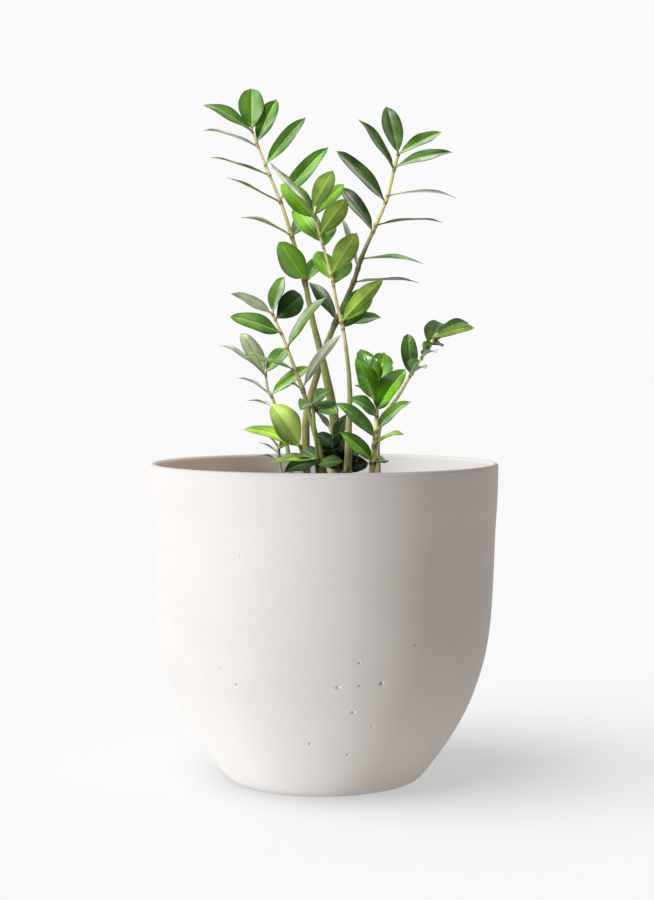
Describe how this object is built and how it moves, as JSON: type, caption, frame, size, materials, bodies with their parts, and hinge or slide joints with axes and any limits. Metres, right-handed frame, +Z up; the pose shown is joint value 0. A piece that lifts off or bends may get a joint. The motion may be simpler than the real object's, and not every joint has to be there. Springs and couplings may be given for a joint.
{
  "type": "potted plant",
  "caption": "Young ZZ plant with glossy pointed leaflets on upright stems, growing in soil in a rounded matte off-white pot.",
  "frame": {"origin": "centre of the pot's flat underside", "axes": "+Z up the pot and plant, -Y towards the side the plant shows best, +X to that view's right"},
  "size_m": [0.3, 0.3, 0.596],
  "materials": {
    "pot": "matte",
    "soil": "matte",
    "stem_left": "satin",
    "stem_right": "satin",
    "stem_centre": "satin",
    "stem_side": "satin",
    "shoot_back_left": "satin",
    "shoot_front_left": "satin",
    "shoot_far_left": "satin",
    "shoot_front_right": "satin",
    "shoot_right_curved": "satin",
    "shoot_front_centre": "satin",
    "shoot_middle": "satin",
    "leaf_left": "satin",
    "leaf_right": "satin",
    "leaf_centre": "satin",
    "leaf_side": "satin"
  },
  "bodies": {
    "root": {"pot": "pot", "soil": "soil", "stem_left": "stem_left", "stem_right": "stem_right", "stem_centre": "stem_centre", "stem_side": "stem_side", "shoot_back_left": "shoot_back_left", "shoot_front_left": "shoot_front_left", "shoot_far_left": "shoot_far_left", "shoot_front_right": "shoot_front_right", "shoot_right_curved": "shoot_right_curved", "shoot_front_centre": "shoot_front_centre", "shoot_middle": "shoot_middle", "leaf_left_01": "leaf_left", "leaf_left_02": "leaf_left", "leaf_left_03": "leaf_left", "leaf_left_04": "leaf_left", "leaf_left_05": "leaf_left", "leaf_left_06": "leaf_left", "leaf_left_07": "leaf_left", "leaf_left_08": "leaf_left", "leaf_left_09": "leaf_left", "leaf_left_10": "leaf_left", "leaf_left_11": "leaf_left", "leaf_left_12": "leaf_left", "leaf_left_13": "leaf_left", "leaf_right_01": "leaf_right", "leaf_right_02": "leaf_right", "leaf_right_03": "leaf_right", "leaf_right_04": "leaf_right", "leaf_right_05": "leaf_right", "leaf_right_06": "leaf_right", "leaf_right_07": "leaf_right", "leaf_right_08": "leaf_right", "leaf_right_09": "leaf_right", "leaf_right_10": "leaf_right", "leaf_right_11": "leaf_right", "leaf_right_12": "leaf_right", "leaf_right_13": "leaf_right", "leaf_centre_01": "leaf_centre", "leaf_centre_02": "leaf_centre", "leaf_centre_03": "leaf_centre", "leaf_centre_04": "leaf_centre", "leaf_centre_05": "leaf_centre", "leaf_centre_06": "leaf_centre", "leaf_centre_07": "leaf_centre", "leaf_centre_08": "leaf_centre", "leaf_centre_09": "leaf_centre", "leaf_centre_10": "leaf_centre", "leaf_centre_11": "leaf_centre", "leaf_centre_12": "leaf_centre", "leaf_centre_13": "leaf_centre", "leaf_side_01": "leaf_side", "leaf_side_02": "leaf_side", "leaf_side_03": "leaf_side", "leaf_side_04": "leaf_side", "leaf_side_05": "leaf_side", "leaf_side_06": "leaf_side", "leaf_side_07": "leaf_side", "leaf_side_08": "leaf_side"}
  },
  "joints": []
}
